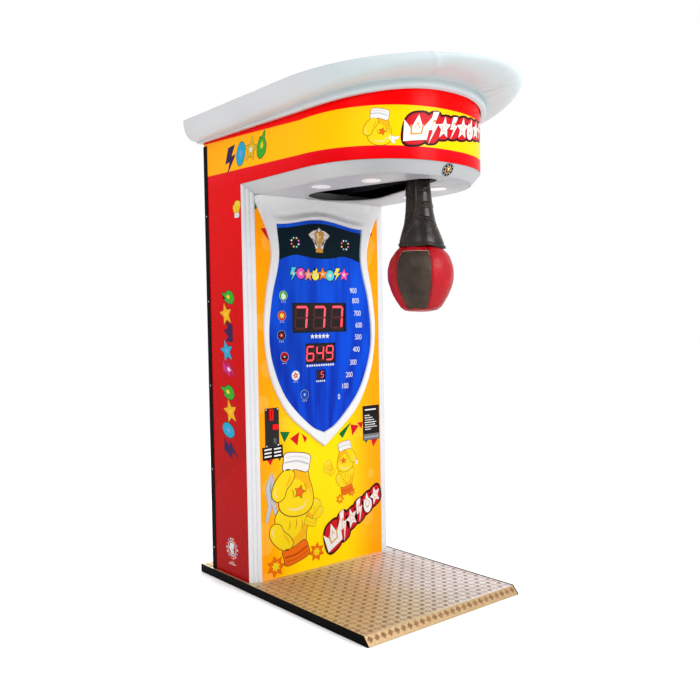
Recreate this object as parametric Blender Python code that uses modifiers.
"""Boxing punch machine: a platform, a cabinet, a head over the player and a ball on a swinging arm.

Metres, +Z up. The front faces -Y. The origin is on the floor, at the centre of the platform.
"""

import math

import bmesh
import bpy
from mathutils import Matrix, Vector

GAP = 0.0003

# Platform
PLATFORM_HALF_WIDTH = 0.381
PLATFORM_HALF_DEPTH = 0.545
BOARD_TOP = 0.0270
TREAD_TOP = 0.0300
RAMP_TOP_Y = -0.5185
RAMP_SLOPE = Vector((-0.652, -0.758))
FLOOR_LINE = TREAD_TOP + GAP

# Cabinet
HALF_WIDTH = 0.3655
SIDE_BOARD = 0.016
SIDE_FRONT = 0.1910
SIDE_REAR = 0.4670
STRIP_REAR = 0.4688
PANEL_HALF_WIDTH = 0.3175
PANEL_FRONT = 0.1695
PANEL_BACK = 0.1815
REAR_PANEL_FRONT = 0.4565
REAR_PANEL_REAR = 0.4685
REAR_HALF_WIDTH = 0.3490

# Head
HEAD_BOTTOM = 1.5978
UNDERSIDE = 1.5540
COLUMN_TOP = UNDERSIDE - 0.0005
WALL_TOP = 1.850
WALL_BEND = -0.205
WALL_NOSE_DEPTH = 0.370
WALL_EXPONENT = 2.2
CHAMFER_HALF_WIDTH = 0.312
CHAMFER_BEND = -0.235
CHAMFER_NOSE_DEPTH = 0.312
SHELL = 0.003

# Canopy
CREST_HALF_WIDTH = 0.4475
CREST_BEND = -0.225
CREST_NOSE_DEPTH = 0.560
CREST_HEIGHT = 1.885
CANOPY_REAR = 0.4855
LIP_HEIGHT = 1.790
CANOPY_SHELL = 0.003

# Swinging arm
PIVOT = Vector((0.0, -0.422, 1.600))
BALL_RADIUS = 0.1195
BALL_CENTRE_Z = 1.217
BALL_HALF_HEIGHT = 0.1235
SLOT_REAR_CENTRE_Y = -0.0220
SLOT_REAR_RADIUS = 0.158
SLOT_FRONT_CENTRE_Y = -0.4395
SLOT_FRONT_RADIUS = 0.050
SHAFT_RADIUS = 0.010
SHAFT_BORE = 0.0102
RAIL_X = 0.158
RAIL_SIZE = 0.030
RAIL_BOTTOM = 1.600
FINGER_TILT = math.radians(35)
FINGER_LENGTH = 0.0675
CATCH_REACH = 0.058
HOOK_PIVOT = Vector((0.023, -0.478, 1.690))
HOOK_LENGTH = 0.0463

# Door
HINGE = Vector((-0.3480, 0.4726, 0.726))
HINGE_LENGTH = 1.000
KNUCKLES = 5
DOOR_BOTTOM = 0.203
DOOR_TOP = 1.250

# Shield: half outlines as (x, z), from the top down to the tip
WINDOW_SIDE = ((0.2205, 1.450), (0.2125, 1.311), (0.2505, 1.153), (0.2665, 1.000),
               (0.2470, 0.880), (0.1850, 0.748), (0.0720, 0.633), (0.0, 0.596))
FRAME_SIDE = ((0.3172, 1.530), (0.2650, 1.420), (0.2470, 1.325), (0.2775, 1.160),
              (0.2885, 1.010), (0.2620, 0.840), (0.1840, 0.690), (0.0660, 0.586), (0.0, 0.536))
WINDOW_PEAK_RISE = 0.028
FRAME_FRONT = 0.1560
WINDOW_FRONT = 0.1640
WINDOW_BACK = 0.1690

PARTS = "boxing_punch_machine"
CUTTERS = "cutters"

COLOURS = {
    "red_vinyl": ((0.78, 0.01, 0.02), 0.30, 0.0),
    "red_paint": ((0.80, 0.01, 0.01), 0.25, 0.0),
    "black_board": ((0.02, 0.02, 0.02), 0.45, 0.0),
    "yellow_print": ((1.0, 0.62, 0.03), 0.35, 0.0),
    "white_moulding": ((0.82, 0.83, 0.85), 0.22, 0.0),
    "black_edge": ((0.02, 0.02, 0.02), 0.50, 0.0),
    "tread_metal": ((0.62, 0.56, 0.46), 0.32, 1.0),
    "blue_print": ((0.01, 0.12, 0.70), 0.12, 0.0),
    "display_glass": ((0.05, 0.005, 0.005), 0.10, 0.0),
    "black_plastic": ((0.03, 0.03, 0.03), 0.45, 0.0),
    "red_plastic": ((0.80, 0.02, 0.02), 0.30, 0.0),
    "red_leather": ((0.62, 0.03, 0.04), 0.50, 0.0),
    "black_leather": ((0.03, 0.027, 0.025), 0.50, 0.0),
    "steel": ((0.55, 0.56, 0.58), 0.35, 1.0),
    "painted_steel": ((0.05, 0.05, 0.055), 0.45, 0.0),
    "rubber": ((0.03, 0.03, 0.03), 0.80, 0.0),
    "lamp_lens": ((0.95, 0.94, 0.90), 0.30, 0.0),
    "circuit_green": ((0.02, 0.22, 0.08), 0.45, 0.0),
}


# Helpers

def clear_scene():
    for obj in list(bpy.data.objects):
        bpy.data.objects.remove(obj, do_unlink=True)
    for collection in list(bpy.data.collections):
        bpy.data.collections.remove(collection)
    for name in (PARTS, CUTTERS):
        bpy.context.scene.collection.children.link(bpy.data.collections.new(name))


def material(slot):
    found = bpy.data.materials.get(slot)
    if found:
        return found
    colour, roughness, metallic = COLOURS[slot]
    made = bpy.data.materials.new(slot)
    made.use_nodes = True
    shader = made.node_tree.nodes["Principled BSDF"]
    shader.inputs["Base Color"].default_value = (*colour, 1.0)
    shader.inputs["Roughness"].default_value = roughness
    shader.inputs["Metallic"].default_value = metallic
    return made


def add_part(name, mesh, slot, matrix=None):
    obj = bpy.data.objects.new(name, mesh)
    if matrix is not None:
        obj.matrix_world = matrix
    mesh.materials.clear()
    mesh.materials.append(material(slot))
    bpy.data.collections[PARTS].objects.link(obj)
    return obj


def add_cutter(name, mesh, matrix=None):
    obj = bpy.data.objects.new(name, mesh)
    if matrix is not None:
        obj.matrix_world = matrix
    obj.hide_render = True
    obj.display_type = "WIRE"
    bpy.data.collections[CUTTERS].objects.link(obj)
    return obj


def mesh_from(name, build):
    body = bmesh.new()
    build(body)
    mesh = bpy.data.meshes.new(name)
    body.to_mesh(mesh)
    body.free()
    return mesh


def box_mesh(name, low, high):
    low, high = Vector(low), Vector(high)
    place = Matrix.Translation((low + high) / 2) @ Matrix.Diagonal((*(high - low), 1.0))
    return mesh_from(name, lambda body: bmesh.ops.create_cube(body, size=1.0, matrix=place))


def rod_mesh(name, start, end, radius, sides=24, end_radius=None):
    start, end = Vector(start), Vector(end)
    along = end - start
    turn = Vector((0, 0, 1)).rotation_difference(along).to_matrix().to_4x4()
    place = Matrix.Translation((start + end) / 2) @ turn
    last = radius if end_radius is None else end_radius
    mesh = mesh_from(name, lambda body: bmesh.ops.create_cone(
        body, cap_ends=True, segments=sides, radius1=radius, radius2=last,
        depth=along.length, matrix=place))
    mesh.shade_smooth()
    mesh.set_sharp_from_angle(angle=math.radians(40))
    return mesh


def box(name, low, high, slot):
    return add_part(name, box_mesh(name, low, high), slot)


def rod(name, start, end, radius, slot, sides=24):
    return add_part(name, rod_mesh(name, start, end, radius, sides), slot)


def boolean(target, mesh, operation, matrix=None):
    tool = add_cutter(f"{target.name}_{operation.lower()}_{len(target.modifiers)}", mesh, matrix)
    modifier = target.modifiers.new(tool.name, "BOOLEAN")
    modifier.operation = operation
    modifier.object = tool
    return tool


def cut_box(target, low, high):
    boolean(target, box_mesh("cut", low, high), "DIFFERENCE")


def join_box(target, low, high):
    boolean(target, box_mesh("join", low, high), "UNION")


def cut_rod(target, start, end, radius, sides=24):
    boolean(target, rod_mesh("cut", start, end, radius, sides), "DIFFERENCE")


def join_rod(target, start, end, radius, sides=24):
    boolean(target, rod_mesh("join", start, end, radius, sides), "UNION")


def turned(name, profile, slot, steps=24, matrix=None):
    """A closed (radius, height) profile, from the axis down the outer side to the axis, turned about Z."""
    mesh = bpy.data.meshes.new(name)
    points = [(radius, 0.0, height) for radius, height in profile]
    mesh.from_pydata(points, [(i, i + 1) for i in range(len(points) - 1)], [])
    obj = add_part(name, mesh, slot, matrix)
    screw = obj.modifiers.new("Screw", "SCREW")
    screw.steps = steps
    screw.render_steps = steps
    screw.use_merge_vertices = True
    screw.merge_threshold = 0.00005
    screw.use_smooth_shade = True
    return obj


def plate_mesh(name, loops, thickness):
    """Flat outlines in the local XY plane, the later ones as holes, given a thickness along local Z."""
    curve = bpy.data.curves.new(name, "CURVE")
    curve.dimensions = "2D"
    curve.fill_mode = "BOTH"
    curve.extrude = thickness / 2
    for loop in loops:
        spline = curve.splines.new("POLY")
        spline.points.add(len(loop) - 1)
        for point, (x, y) in zip(spline.points, loop):
            point.co = (x, y, 0.0, 1.0)
        spline.use_cyclic_u = True
    flat = bpy.data.objects.new(name, curve)
    bpy.context.scene.collection.objects.link(flat)
    bpy.context.view_layer.update()
    solid = flat.evaluated_get(bpy.context.evaluated_depsgraph_get())
    mesh = bpy.data.meshes.new_from_object(solid)
    bpy.data.objects.remove(flat)
    bpy.data.curves.remove(curve)
    body = bmesh.new()
    body.from_mesh(mesh)
    bmesh.ops.remove_doubles(body, verts=body.verts, dist=0.00001)
    bmesh.ops.recalc_face_normals(body, faces=body.faces)
    body.to_mesh(mesh)
    body.free()
    return mesh


def facing_front(y_front, thickness):
    """Local X, Y go to world X, Z; the plate's front face is at y_front."""
    return Matrix.Translation((0, y_front + thickness / 2, 0)) @ Matrix.Rotation(math.pi / 2, 4, "X")


def facing_side(x_low, thickness):
    """Local X, Y go to world Y, Z; the plate's lower-X face is at x_low."""
    columns = Matrix(((0, 0, 1, x_low + thickness / 2), (1, 0, 0, 0), (0, 1, 0, 0), (0, 0, 0, 1)))
    return columns


def smooth_line(points, steps):
    """A Catmull-Rom curve through the points, with this many segments between each two."""
    ends = [Vector(points[0]) * 2 - Vector(points[1])] + [Vector(p) for p in points]
    ends.append(Vector(points[-1]) * 2 - Vector(points[-2]))
    line = []
    for i in range(1, len(ends) - 2):
        before, start, end, after = ends[i - 1:i + 3]
        for step in range(steps):
            t = step / steps
            line.append(0.5 * (2 * start + (end - before) * t
                               + (2 * before - 5 * start + 4 * end - after) * t ** 2
                               + (3 * start - before - 3 * end + after) * t ** 3))
    line.append(ends[-2])
    return line


def plan_line(half_width, bend, depth, exponent, rear, straights=4, turns=28):
    """The head's plan from its left rear round the nose to its right rear, as (x, y)."""
    points = [(-half_width, rear + (bend - rear) * i / straights) for i in range(straights)]
    for i in range(turns + 1):
        angle = math.pi * (1 - i / turns)
        across = math.copysign(abs(math.cos(angle)) ** (2 / exponent), math.cos(angle))
        points.append((half_width * across, bend - depth * math.sin(angle) ** (2 / exponent)))
    points += [(half_width, bend + (rear - bend) * (i + 1) / straights) for i in range(straights)]
    return points


def loft(body, rows, closed):
    """Quads facing outward between rows from the top down; closed rows run round to their first point."""
    rings = [[body.verts.new(point) for point in row] for row in rows]
    for upper, lower in zip(rings, rings[1:]):
        last = len(upper) if closed else len(upper) - 1
        for i in range(last):
            j = (i + 1) % len(upper)
            body.faces.new((upper[i], lower[i], lower[j], upper[j]))
    return rings


def thicken_inward(obj, thickness):
    modifier = obj.modifiers.new("Solidify", "SOLIDIFY")
    modifier.thickness = thickness
    modifier.offset = -1.0
    modifier.use_even_offset = True


# Platform

def ramp_point(offset, height):
    """On the ramp's slope, this far outside the board, at this height, as (y, z)."""
    normal = Vector((RAMP_SLOPE.y, -RAMP_SLOPE.x))
    start = Vector((RAMP_TOP_Y, BOARD_TOP)) + normal * offset
    return tuple(start + RAMP_SLOPE * ((start.y - height) / -RAMP_SLOPE.y))


def build_platform():
    rear = PLATFORM_HALF_DEPTH
    width = 2 * PLATFORM_HALF_WIDTH
    toe = ramp_point(0.0, 0.0015)
    board = [(rear, 0.0), (rear, BOARD_TOP), (RAMP_TOP_Y, BOARD_TOP), toe, (toe[0], 0.0)]
    add_part("platform_board", plate_mesh("platform_board", [board], width), "black_board",
             facing_side(-PLATFORM_HALF_WIDTH, width))
    inner, outer = GAP, GAP + 0.0027
    sheet = [(rear, BOARD_TOP + inner), (rear, TREAD_TOP), ramp_point(outer, TREAD_TOP),
             ramp_point(outer, 0.0008), ramp_point(inner, 0.0008), ramp_point(inner, BOARD_TOP + inner)]
    width -= 0.006
    add_part("tread_plate", plate_mesh("tread_plate", [sheet], width), "tread_metal",
             facing_side(-width / 2, width))
    x, front, back = REAR_HALF_WIDTH - 0.0005, SIDE_FRONT + 0.0005, REAR_PANEL_FRONT - 0.0005
    leg, wall = 0.030, 0.004
    anchor = box("base_anchor_frame", (-x, front, FLOOR_LINE), (x, back, FLOOR_LINE + leg), "painted_steel")
    cut_box(anchor, (-x + wall, front + wall, FLOOR_LINE + wall), (x - wall, back - wall, 0.10))
    cut_box(anchor, (-x + leg, front + leg, 0.0), (x - leg, back - leg, 0.10))


# Cabinet

def trim_section():
    """The corner trim's plan as (x, y): three ribs across the corner, and a flat back."""
    outer, inner = Vector((HALF_WIDTH, SIDE_FRONT - GAP)), Vector((0.3180, PANEL_FRONT - 0.0005))
    across = inner - outer
    normal = Vector((across.y, -across.x)).normalized() * -0.003
    front = []
    steps = 12
    for i in range(steps + 1):
        t = i / steps
        front.append(tuple(outer + across * t + normal * abs(math.sin(3 * math.pi * t))))
    return front + [(0.3180, PANEL_BACK), (0.3300, SIDE_FRONT - GAP)]


def build_cabinet():
    side = [(SIDE_REAR, FLOOR_LINE), (SIDE_REAR, WALL_TOP), (WALL_BEND, WALL_TOP), (WALL_BEND, HEAD_BOTTOM),
            (SIDE_FRONT, HEAD_BOTTOM), (SIDE_FRONT, FLOOR_LINE)]
    strip_x = HALF_WIDTH - SIDE_BOARD
    strip = [(strip_x, SIDE_REAR + GAP), (HALF_WIDTH + GAP, SIDE_REAR + GAP), (HALF_WIDTH + GAP, 0.4410),
             (HALF_WIDTH + 0.0018, 0.4410), (HALF_WIDTH + 0.0018, STRIP_REAR), (strip_x, STRIP_REAR)]
    strip_top = LIP_HEIGHT - 0.004
    slope = (HEAD_BOTTOM - 0.0006 - UNDERSIDE) / (HALF_WIDTH - CHAMFER_HALF_WIDTH)
    for end, sign in (("left", -1), ("right", 1)):
        low = HALF_WIDTH - SIDE_BOARD if sign > 0 else -HALF_WIDTH
        add_part(f"side_panel_{end}", plate_mesh("side", [side], SIDE_BOARD), "red_vinyl",
                 facing_side(low, SIDE_BOARD))
        outline = [(sign * x, y) for x, y in strip]
        height = strip_top - FLOOR_LINE
        lift = Matrix.Translation((0, 0, FLOOR_LINE + height / 2))
        add_part(f"rear_edge_strip_{end}", plate_mesh("strip", [outline], height), "black_edge", lift)
        outline = [(sign * x, y) for x, y in trim_section()]
        height = HEAD_BOTTOM - FLOOR_LINE
        lift = Matrix.Translation((0, 0, FLOOR_LINE + height / 2))
        trim = add_part(f"corner_trim_{end}", plate_mesh("trim", [outline], height), "white_moulding", lift)
        mitre_at = CHAMFER_HALF_WIDTH + (0.0012 / slope)
        wedge = [(mitre_at - 0.02, UNDERSIDE - 0.02 * slope), (0.40, UNDERSIDE + (0.40 - mitre_at) * slope),
                 (0.40, 1.70), (mitre_at - 0.02, 1.70)]
        wedge = [(sign * x, z) for x, z in wedge]
        boolean(trim, plate_mesh("mitre", [wedge], 0.10), "DIFFERENCE", facing_front(0.13, 0.10))
    front = box("front_panel", (-PANEL_HALF_WIDTH, PANEL_FRONT, FLOOR_LINE),
                (PANEL_HALF_WIDTH, PANEL_BACK, COLUMN_TOP), "yellow_print")
    for low, high in DISPLAY_BOXES.values():
        cut_box(front, (low[0] - 0.0005, 0.15, low[1] - 0.0005), (high[0] + 0.0005, 0.20, high[1] + 0.0005))
    cut_box(front, (-0.2840, 0.15, 0.5700), (-0.2295, 0.20, 0.7145))
    build_rear_panels()


def build_rear_panels():
    upper = box("rear_upper_panel", (-REAR_HALF_WIDTH, REAR_PANEL_FRONT, DOOR_TOP + 0.003),
                (REAR_HALF_WIDTH, REAR_PANEL_REAR, WALL_TOP), "painted_steel")
    for row in range(5):
        z = SPEAKER_Z + (row - 2) * 0.024
        half = 0.055 if row in (0, 4) else 0.070
        cut_box(upper, (-half, 0.44, z - 0.004), (half, 0.48, z + 0.004))
    lower = box("rear_lower_panel", (-REAR_HALF_WIDTH, REAR_PANEL_FRONT, FLOOR_LINE),
                (REAR_HALF_WIDTH, REAR_PANEL_REAR, DOOR_BOTTOM - 0.003), "painted_steel")
    cut_box(lower, (INLET_X - 0.0140, 0.44, MAINS_Z - 0.0105), (INLET_X + 0.0140, 0.48, MAINS_Z + 0.0105))
    cut_box(lower, (SWITCH_X - 0.0095, 0.44, MAINS_Z - 0.0145), (SWITCH_X + 0.0095, 0.48, MAINS_Z + 0.0145))


# Service door

def hinge_leaf(name, plate_low, plate_high, bridge, own_knuckles, slot):
    bottom = HINGE.z - HINGE_LENGTH / 2
    leaf = box(name, (plate_low, 0.4691, bottom), (plate_high, 0.4706, bottom + HINGE_LENGTH), slot)
    pitch = HINGE_LENGTH / KNUCKLES
    for i in own_knuckles:
        low, high = bottom + i * pitch + 0.0005, bottom + (i + 1) * pitch - 0.0005
        join_box(leaf, (min(bridge, HINGE.x), 0.4691, low), (max(bridge, HINGE.x), 0.4706, high))
        join_rod(leaf, (HINGE.x, HINGE.y, low), (HINGE.x, HINGE.y, high), 0.0035, 16)
    cut_rod(leaf, (HINGE.x, HINGE.y, bottom - 0.01), (HINGE.x, HINGE.y, bottom + HINGE_LENGTH + 0.01), 0.0022, 16)
    return leaf


def build_door():
    door = box("service_door", (-0.3470, REAR_PANEL_FRONT, DOOR_BOTTOM), (0.3470, REAR_PANEL_REAR, DOOR_TOP),
               "painted_steel")
    for row in range(6):
        z = 0.330 + row * 0.020
        cut_box(door, (-0.110, 0.44, z - 0.004), (0.110, 0.48, z + 0.004))
    cut_rod(door, (LOCK_X, 0.44, LOCK_Z), (LOCK_X, 0.48, LOCK_Z), 0.0093)
    hinge_leaf("door_hinge_frame_leaf", -0.3660, -0.3515, -0.3520, (0, 2, 4), "steel")
    hinge_leaf("door_hinge_door_leaf", -0.3440, -0.3250, -0.3435, (1, 3), "steel")
    bottom = HINGE.z - HINGE_LENGTH / 2
    rod("door_hinge_pin", (HINGE.x, HINGE.y, bottom), (HINGE.x, HINGE.y, bottom + HINGE_LENGTH), 0.0020, "steel", 16)
    lock = rod("door_lock", (LOCK_X, 0.4505, LOCK_Z), (LOCK_X, 0.4710, LOCK_Z), 0.0090, "steel")
    join_rod(lock, (LOCK_X, 0.4688, LOCK_Z), (LOCK_X, 0.4720, LOCK_Z), 0.0125)
    join_box(lock, (LOCK_X - 0.045, 0.4515, LOCK_Z - 0.008), (LOCK_X, 0.4540, LOCK_Z + 0.008))
    cut_box(lock, (LOCK_X - 0.0010, 0.4690, LOCK_Z - 0.0045), (LOCK_X + 0.0010, 0.4730, LOCK_Z + 0.0045))


# Shield, displays and plates

def half_outline(side, rise):
    """A closed, mirrored outline; rise lifts the top edge to a soft peak at the centre."""
    right = [tuple(p) for p in smooth_line(side, 5)]
    left = [(-x, z) for x, z in reversed(right[:-1])]
    corner_x, corner_z = right[0]
    top = []
    for i in range(1, 12):
        x = -corner_x + 2 * corner_x * i / 12
        top.append((x, corner_z + rise * (1 + math.cos(math.pi * x / corner_x)) / 2))
    return right + left + (top if rise else [])


def add_lamps(body, x):
    """Eight small lamps in a ring around the disc's centre."""
    for i in range(8):
        angle = math.tau * (i + 0.5) / 8
        at = Vector((x + 0.019 * math.cos(angle), WINDOW_FRONT, LED_RING_Z + 0.019 * math.sin(angle)))
        place = Matrix.Translation(at) @ Matrix.Rotation(math.pi / 2, 4, "X")
        bmesh.ops.create_cone(body, cap_ends=True, segments=8, radius1=0.0033, radius2=0.0028, depth=0.004,
                              matrix=place)


def build_shield():
    window = half_outline(WINDOW_SIDE, WINDOW_PEAK_RISE)
    outer = [(PANEL_HALF_WIDTH, COLUMN_TOP)] + half_outline(FRAME_SIDE, 0.0) + [(-PANEL_HALF_WIDTH, COLUMN_TOP)]
    depth = PANEL_FRONT - GAP - FRAME_FRONT
    add_part("shield_frame", plate_mesh("shield_frame", [outer, window], depth), "white_moulding",
             facing_front(FRAME_FRONT, depth))
    middle_z = 1.06
    shrink = 0.0006
    inner = [(x * (1 - shrink / 0.2), middle_z + (z - middle_z) * (1 - shrink / 0.35)) for x, z in window]
    pane = add_part("shield_window", plate_mesh("shield_window", [inner], WINDOW_BACK - WINDOW_FRONT),
                    "blue_print", facing_front(WINDOW_FRONT, WINDOW_BACK - WINDOW_FRONT))
    for name, (low, high) in DISPLAY_BOXES.items():
        cut_box(pane, (low[0], 0.15, low[1]), (high[0], 0.18, high[1]))
        box(name, (low[0], PANEL_FRONT, low[1]), (high[0], 0.1950, high[1]), "display_glass")
    for end, sign in (("left", -1), ("right", 1)):
        x = sign * LED_RING_X
        cut_rod(pane, (x, 0.15, LED_RING_Z), (x, 0.18, LED_RING_Z), 0.0280)
        ring = rod(f"led_ring_{end}", (x, WINDOW_FRONT + 0.0006, LED_RING_Z), (x, WINDOW_BACK, LED_RING_Z), 0.0275,
                   "black_plastic")
        boolean(ring, mesh_from("lamps", lambda body, x=x: add_lamps(body, x)), "UNION")
    box("rules_plate", (0.2185, 0.1677, 0.5350), (0.3125, PANEL_FRONT - GAP, 0.6865), "black_plastic")


# Coin entry

def build_coin_entry():
    back = PANEL_FRONT - GAP
    plate = box("coin_plate", (-0.2905, back - 0.002, 0.5615), (-0.2245, back, 0.7175), "painted_steel")
    cut_box(plate, (-0.2725, 0.15, 0.6700), (-0.2555, 0.18, 0.7130))
    cut_box(plate, (-0.2570, 0.15, 0.6305), (-0.2305, 0.18, 0.6525))
    cut_box(plate, (-0.2520, 0.15, 0.5720), (-0.2320, 0.18, 0.5960))
    bezel = box("coin_entry_bezel", (-0.2720, 0.1592, 0.6705), (-0.2560, 0.1712, 0.7125), "red_plastic")
    cut_box(bezel, (-0.2665, 0.15, 0.6750), (-0.2615, 0.18, 0.7080))
    box("coin_return_button", (-0.2565, 0.1622, 0.6310), (-0.2310, 0.1752, 0.6520), "red_plastic")
    body = box("coin_mechanism", (-0.2835, 0.1720, 0.5705), (-0.2300, 0.2450, 0.7140), "steel")
    cut_box(body, (-0.2665, 0.15, 0.5600), (-0.2615, 0.2350, 0.7080))
    cut_box(body, (-0.2580, 0.15, 0.6295), (-0.2250, 0.1800, 0.6535))
    cut_box(body, (-0.2520, 0.15, 0.5720), (-0.2320, 0.1950, 0.5960))
    tray = box("cash_box", (-0.3080, 0.2300, 0.0355), (-0.1700, 0.4200, 0.1800), "painted_steel")
    cut_box(tray, (-0.3060, 0.2320, 0.0375), (-0.1720, 0.4180, 0.2000))


# Head

def canopy_row(reach, lift, height_share, rear):
    """One closed row: reach moves from the wall's plan (0) to the crest's (1), after an offset of lift."""
    wall = plan_line(HALF_WIDTH + lift, WALL_BEND, WALL_NOSE_DEPTH + lift, WALL_EXPONENT, rear)
    crest = plan_line(CREST_HALF_WIDTH, CREST_BEND, CREST_NOSE_DEPTH, 2.0, rear)
    row = []
    for (wx, wy), (cx, cy) in zip(wall, crest):
        toward_nose = min(max((WALL_BEND - wy) / WALL_NOSE_DEPTH, 0.0), 1.1)
        toward_rear = min(max((wy - WALL_BEND) / 0.65, 0.0), 1.0)
        lip = LIP_HEIGHT + 0.044 * toward_nose ** 2 + 0.010 * toward_rear
        top = CREST_HEIGHT + 0.010 * toward_nose ** 2
        base = lip + 0.026
        z = lip + lift if height_share is None else base + (top - base) * height_share
        row.append(Vector((wx + (cx - wx) * reach, wy + (cy - wy) * reach, z)))
    return row


def build_canopy():
    near_wall = STRIP_REAR + 0.0018
    lip = [(0.0024, 0.0, near_wall), (0.0220, 0.0, CANOPY_REAR), (0.0250, 0.011, CANOPY_REAR),
           (0.0230, 0.021, CANOPY_REAR)]
    rows = []
    for offset, rise, rear in lip:
        row = canopy_row(0.0, offset, None, rear)
        rows.append([point + Vector((0, 0, rise - offset)) for point in row])
    for degrees in (0, 30, 60, 90):
        angle = math.radians(degrees)
        rows.append(canopy_row(math.sin(angle), 0.020, 1 - math.cos(angle), CANOPY_REAR))
    crest = rows[-1]
    for share, rise in ((0.975, 0.009), (0.90, 0.016), (0.70, 0.028), (0.40, 0.038)):
        rows.append([Vector((p.x * share, CANOPY_REAR + (p.y - CANOPY_REAR) * share, p.z + rise)) for p in crest])

    def build(body):
        rings = loft(body, rows[::-1], closed=True)
        body.faces.new(rings[0])

    canopy = add_part("canopy", mesh_from("canopy", build), "white_moulding")
    thicken_inward(canopy, CANOPY_SHELL)


def slot_outline(steps=12):
    """The teardrop that the bag swings through: two arcs joined by their common tangents, as (x, y)."""
    spread = SLOT_REAR_CENTRE_Y - SLOT_FRONT_CENTRE_Y
    lean = math.asin((SLOT_REAR_RADIUS - SLOT_FRONT_RADIUS) / spread)
    outline = []
    for i in range(2 * steps + 1):
        angle = -lean + (math.pi + 2 * lean) * i / (2 * steps)
        outline.append((SLOT_REAR_RADIUS * math.cos(angle), SLOT_REAR_CENTRE_Y + SLOT_REAR_RADIUS * math.sin(angle)))
    for i in range(steps + 1):
        angle = math.pi + lean + (math.pi - 2 * lean) * i / steps
        outline.append((SLOT_FRONT_RADIUS * math.cos(angle),
                        SLOT_FRONT_CENTRE_Y + SLOT_FRONT_RADIUS * math.sin(angle)))
    return outline


def tray_mesh(inset, lift, rear, above):
    """The underside's solid: a flat floor, a sloping rim and, for above, a straight collar on the rim."""
    rim = plan_line(HALF_WIDTH - inset, WALL_BEND, WALL_NOSE_DEPTH - inset, WALL_EXPONENT, rear)
    floor = plan_line(CHAMFER_HALF_WIDTH - inset, CHAMFER_BEND, CHAMFER_NOSE_DEPTH - inset, WALL_EXPONENT, rear)
    top = HEAD_BOTTOM - 0.0006
    rows = [[(x, y, top) for x, y in rim], [(x, y, UNDERSIDE + lift) for x, y in floor]]
    if above:
        rows.insert(0, [(x, y, top + above) for x, y in rim])

    def build(body):
        rings = loft(body, rows, closed=True)
        body.faces.new(rings[0])
        body.faces.new(rings[-1][::-1])

    return mesh_from("tray", build)


def build_head():
    line = plan_line(HALF_WIDTH, WALL_BEND, WALL_NOSE_DEPTH, WALL_EXPONENT, WALL_BEND, 0)
    line[0] = (line[0][0], line[0][1] - GAP)
    line[-1] = (line[-1][0], line[-1][1] - GAP)

    def build_band(body):
        loft(body, [[(x, y, WALL_TOP) for x, y in line], [(x, y, HEAD_BOTTOM) for x, y in line]], closed=False)

    band = add_part("nose_band", mesh_from("nose_band", build_band), "red_paint")
    thicken_inward(band, SHELL)

    rear = SIDE_FRONT - 0.0010
    tray = add_part("underside_moulding", tray_mesh(0.0, 0.0, rear, 0.0), "white_moulding")
    boolean(tray, tray_mesh(SHELL, SHELL, rear + 0.02, 0.02), "DIFFERENCE")
    boolean(tray, plate_mesh("slot", [slot_outline()], 0.06), "DIFFERENCE", Matrix.Translation((0, 0, UNDERSIDE)))
    for row, (x, y) in DOWNLIGHTS.items():
        for end, sign in (("left", -1), ("right", 1)):
            at = Vector((sign * x, y, UNDERSIDE))
            cut_rod(tray, at - Vector((0, 0, 0.02)), at + Vector((0, 0, 0.02)), 0.0300, 20)
            profile = [(0, 0.030), (0.0294, 0.030), (0.0294, -GAP), (0.0355, -GAP), (0.0355, -0.0025),
                       (0.0320, -0.0035), (0, -0.0035)]
            turned(f"downlight_{row}_{end}", profile, "lamp_lens", 20, Matrix.Translation(at))

    chamfer_top = Vector((0, WALL_BEND - WALL_NOSE_DEPTH, HEAD_BOTTOM))
    chamfer_foot = Vector((0, CHAMFER_BEND - CHAMFER_NOSE_DEPTH, UNDERSIDE))
    along = chamfer_top - chamfer_foot
    normal = Vector((0, -along.z, along.y)).normalized()
    middle = (chamfer_top + chamfer_foot) / 2
    rod("nose_badge", middle + normal * 0.0005, middle + normal * 0.0022, 0.0250, "black_plastic", 32)


# Frame, arm and latch

def tube_along_y(name, x, y_low, y_high):
    half = RAIL_SIZE / 2
    rail = box(name, (x - half, y_low, RAIL_BOTTOM), (x + half, y_high, RAIL_BOTTOM + RAIL_SIZE), "painted_steel")
    wall = 0.002
    cut_box(rail, (x - half + wall, y_low - 0.01, RAIL_BOTTOM + wall),
            (x + half - wall, y_high + 0.01, RAIL_BOTTOM + RAIL_SIZE - wall))


def beam_along_x(name, x_half, y_low, y_high):
    low, high = RAIL_BOTTOM + RAIL_SIZE + GAP, RAIL_BOTTOM + 2 * RAIL_SIZE + GAP
    beam = box(name, (-x_half, y_low, low), (x_half, y_high, high), "painted_steel")
    wall = 0.002
    cut_box(beam, (-x_half - 0.01, y_low + wall, low + wall), (x_half + 0.01, y_high - wall, high - wall))


def build_frame():
    for end, sign in (("left", -1), ("right", 1)):
        tube_along_y(f"frame_rail_{end}", sign * RAIL_X, -0.520, REAR_PANEL_FRONT - GAP)
        inner, outer = 0.1120, RAIL_X - RAIL_SIZE / 2 - GAP
        low, high = sorted((sign * inner, sign * outer))
        block = box(f"bearing_{end}", (low, -0.4500, 1.5720), (high, -0.3940, 1.6280), "steel")
        cut_rod(block, (low - 0.01, PIVOT.y, PIVOT.z), (high + 0.01, PIVOT.y, PIVOT.z), SHAFT_BORE)
    beam_along_x("front_cross_beam", 0.173, -0.5220, -0.4925)
    beam_along_x("rear_cross_beam", HALF_WIDTH - SIDE_BOARD - GAP, 0.2000, 0.2300)
    box("end_buffer", (-0.015, -0.4922, 1.6340), (0.015, -0.4800, 1.6600), "rubber")


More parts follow.
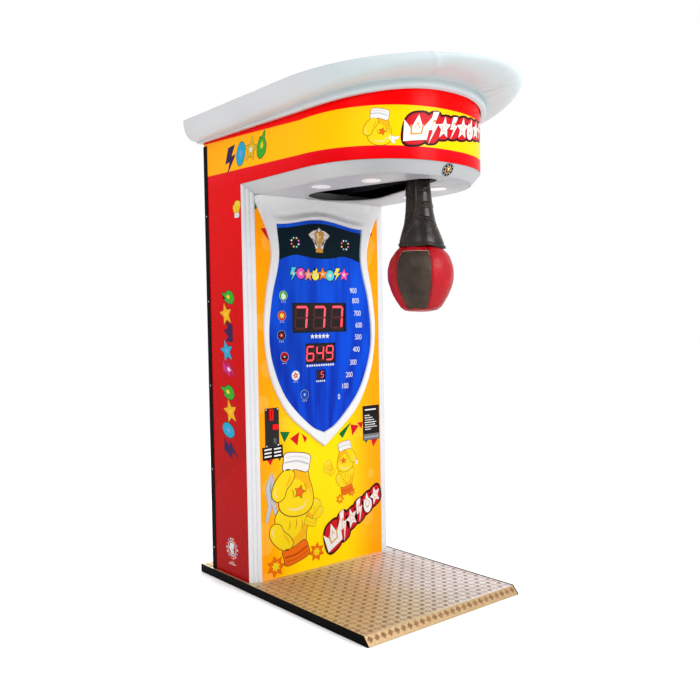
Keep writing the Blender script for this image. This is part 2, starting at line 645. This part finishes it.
def build_arm():
    rod("pivot_shaft", (-0.1400, PIVOT.y, PIVOT.z), (0.1400, PIVOT.y, PIVOT.z), SHAFT_RADIUS, "steel")
    arm = add_part("swing_arm", rod_mesh("hub", (-0.045, 0, 0), (0.045, 0, 0), 0.022), "steel",
                   Matrix.Translation(PIVOT))
    tilt = Matrix.Translation(PIVOT) @ Matrix.Rotation(-FINGER_TILT, 4, "X")
    down = rod_mesh("tube", (0, 0, -0.010), (0, 0, -0.395), 0.012, 16)
    boolean(arm, down, "UNION", Matrix.Translation(PIVOT))
    boolean(arm, box_mesh("finger", (-0.010, -0.006, 0.010), (0.010, 0.006, FINGER_LENGTH)), "UNION", tilt)
    boolean(arm, rod_mesh("catch", (0.005, 0, CATCH_REACH), (0.028, 0, CATCH_REACH), 0.004, 12), "UNION", tilt)
    cut_rod(arm, (-0.05, PIVOT.y, PIVOT.z), (0.05, PIVOT.y, PIVOT.z), SHAFT_BORE)

    teeth = 12
    rim = []
    for i in range(4 * teeth):
        radius = 0.036 if i % 4 in (0, 1) else 0.030
        angle = math.tau * i / (4 * teeth)
        rim.append((radius * math.cos(angle), radius * math.sin(angle)))
    bore = [(SHAFT_BORE * math.cos(math.tau * i / 24), SHAFT_BORE * math.sin(math.tau * i / 24)) for i in range(24)]
    across = facing_side(-0.0760, 0.002)
    across = Matrix.Translation((0, PIVOT.y, PIVOT.z)) @ across
    add_part("sensor_disc", plate_mesh("sensor_disc", [rim, bore], 0.002), "steel", across)
    sensor = box("speed_sensor", (-0.1427, -0.3935, 1.5920), (-0.0650, -0.3720, 1.6080), "black_plastic")
    cut_box(sensor, (-0.0790, -0.40, 1.58), (-0.0710, -0.3840, 1.62))


def ball_radius_at(height):
    """Rounded above its middle; below, it narrows to the rim of the flat bottom panel."""
    share = min(abs(height) / BALL_HALF_HEIGHT, 1.0)
    if height < 0:
        return BALL_RADIUS * (1 - 0.42 * share ** 1.77)
    return BALL_RADIUS * (1 - share ** 2.25) ** (1 / 2.25)


def build_bag():
    place = Matrix.Translation((PIVOT.x, PIVOT.y, BALL_CENTRE_Z))
    pocket = 0.0135
    profile = [(0, -0.020), (pocket, -0.020)]
    for i in range(1, 16):
        height = BALL_HALF_HEIGHT * math.cos(math.pi * i / 16)
        profile.append((ball_radius_at(height), height))
    profile.insert(2, (pocket, profile[2][1]))
    profile += [(0.0620, -BALL_HALF_HEIGHT), (0, -BALL_HALF_HEIGHT)]
    turned("bag_ball", profile, "red_leather", 28, place)

    outer = [(0.0400, 1.578), (0.0425, 1.565), (0.0430, 1.500), (0.0440, 1.450), (0.0480, 1.420), (0.0570, 1.385),
             (0.0690, 1.350), (0.0830, 1.318)]
    inner = [(radius - 0.0030, height + 0.0006) for radius, height in reversed(outer)]
    inner[-1] = (outer[0][0] - 0.0030, outer[0][1])
    inner[0] = (outer[-1][0] - 0.0030, outer[-1][1])
    turned("bag_sleeve", outer + inner + [outer[0]], "black_leather", 28,
           Matrix.Translation((PIVOT.x, PIVOT.y, 0)))


def build_latch():
    x, y, z = HOOK_PIVOT
    hook = box("latch_hook", (x - 0.003, y - 0.004, z - HOOK_LENGTH), (x + 0.003, y + 0.004, z + 0.022), "steel")
    join_rod(hook, (x - 0.003, y, z), (x + 0.003, y, z), 0.0065, 20)
    cut_rod(hook, (x - 0.01, y, z), (x + 0.01, y, z), 0.0032, 16)
    beam_top = RAIL_BOTTOM + 2 * RAIL_SIZE + 2 * GAP
    ear = 0.0275
    coil = box("release_solenoid", (ear, -0.5220, beam_top), (ear + 0.004, -0.4700, z + 0.008), "steel")
    join_rod(coil, (ear + 0.001, y, z), (x - 0.005, y, z), 0.0030, 16)
    join_box(coil, (0.0090, -0.5600, z + 0.0040), (0.0370, -0.5000, z + 0.0320))
    cut_rod(coil, (x, -0.5560, z + 0.018), (x, -0.4900, z + 0.018), 0.0044, 16)
    rod("solenoid_plunger", (x, -0.5450, z + 0.018), (x, -0.4835, z + 0.018), 0.0040, "steel", 16)


# Electrics

def build_electrics():
    inner = HALF_WIDTH - SIDE_BOARD
    board = box("control_board", (inner - 0.0080, 0.2600, 0.8500), (inner - 0.0060, 0.4200, 1.0700), "circuit_green")
    for y, z, deep, tall in ((0.29, 0.90, 0.03, 0.04), (0.36, 0.90, 0.05, 0.03), (0.33, 1.00, 0.06, 0.05)):
        join_box(board, (inner - 0.0200, y, z), (inner - 0.0070, y + deep, z + tall))
    box("power_supply", (0.1500, 0.2400, 0.0360), (0.3000, 0.3400, 0.0900), "steel")
    turn = Matrix.Translation((0, REAR_PANEL_FRONT - GAP, SPEAKER_Z)) @ Matrix.Rotation(-math.pi / 2, 4, "X")
    cone = [(0, -0.030), (0.020, -0.030), (0.075, -0.004), (0.080, 0.0), (0.090, 0.0), (0.090, -0.004),
            (0.078, -0.008), (0.045, -0.040), (0.045, -0.065), (0, -0.065)]
    turned("speaker", cone, "black_plastic", 24, turn)
    inlet = box("mains_inlet", (INLET_X - 0.0240, REAR_PANEL_REAR + GAP, MAINS_Z - 0.0150),
                (INLET_X + 0.0240, REAR_PANEL_REAR + 0.0030, MAINS_Z + 0.0150), "black_plastic")
    join_box(inlet, (INLET_X - 0.0135, 0.4450, MAINS_Z - 0.0100), (INLET_X + 0.0135, 0.4700, MAINS_Z + 0.0100))
    cut_box(inlet, (INLET_X - 0.0115, 0.4550, MAINS_Z - 0.0080), (INLET_X + 0.0115, 0.4800, MAINS_Z + 0.0080))
    rocker = box_mesh("power_switch", (-0.0088, -0.0050, -0.0130), (0.0088, 0.0050, 0.0130))
    place = Matrix.Translation((SWITCH_X, 0.4660, MAINS_Z)) @ Matrix.Rotation(math.radians(-8), 4, "X")
    add_part("power_switch", rocker, "black_plastic", place)


# Places on the panels: display boxes as ((x, z) low, (x, z) high)
DISPLAY_BOXES = {
    "score_display": ((-0.149, 1.016), (0.129, 1.134)),
    "high_score_display": ((-0.0855, 0.887), (0.0675, 0.967)),
    "credit_display": ((-0.0315, 0.820), (0.0125, 0.855)),
}
LED_RING_X = 0.130
LED_RING_Z = 1.381
DOWNLIGHTS = {"front": (0.165, -0.350), "rear": (0.230, -0.145)}
SPEAKER_Z = 1.450
MAINS_Z = 0.115
INLET_X = 0.200
SWITCH_X = 0.130
LOCK_X = 0.200
LOCK_Z = 1.225

clear_scene()
build_platform()
build_cabinet()
build_door()
build_shield()
build_coin_entry()
build_canopy()
build_head()
build_frame()
build_arm()
build_bag()
build_latch()
build_electrics()
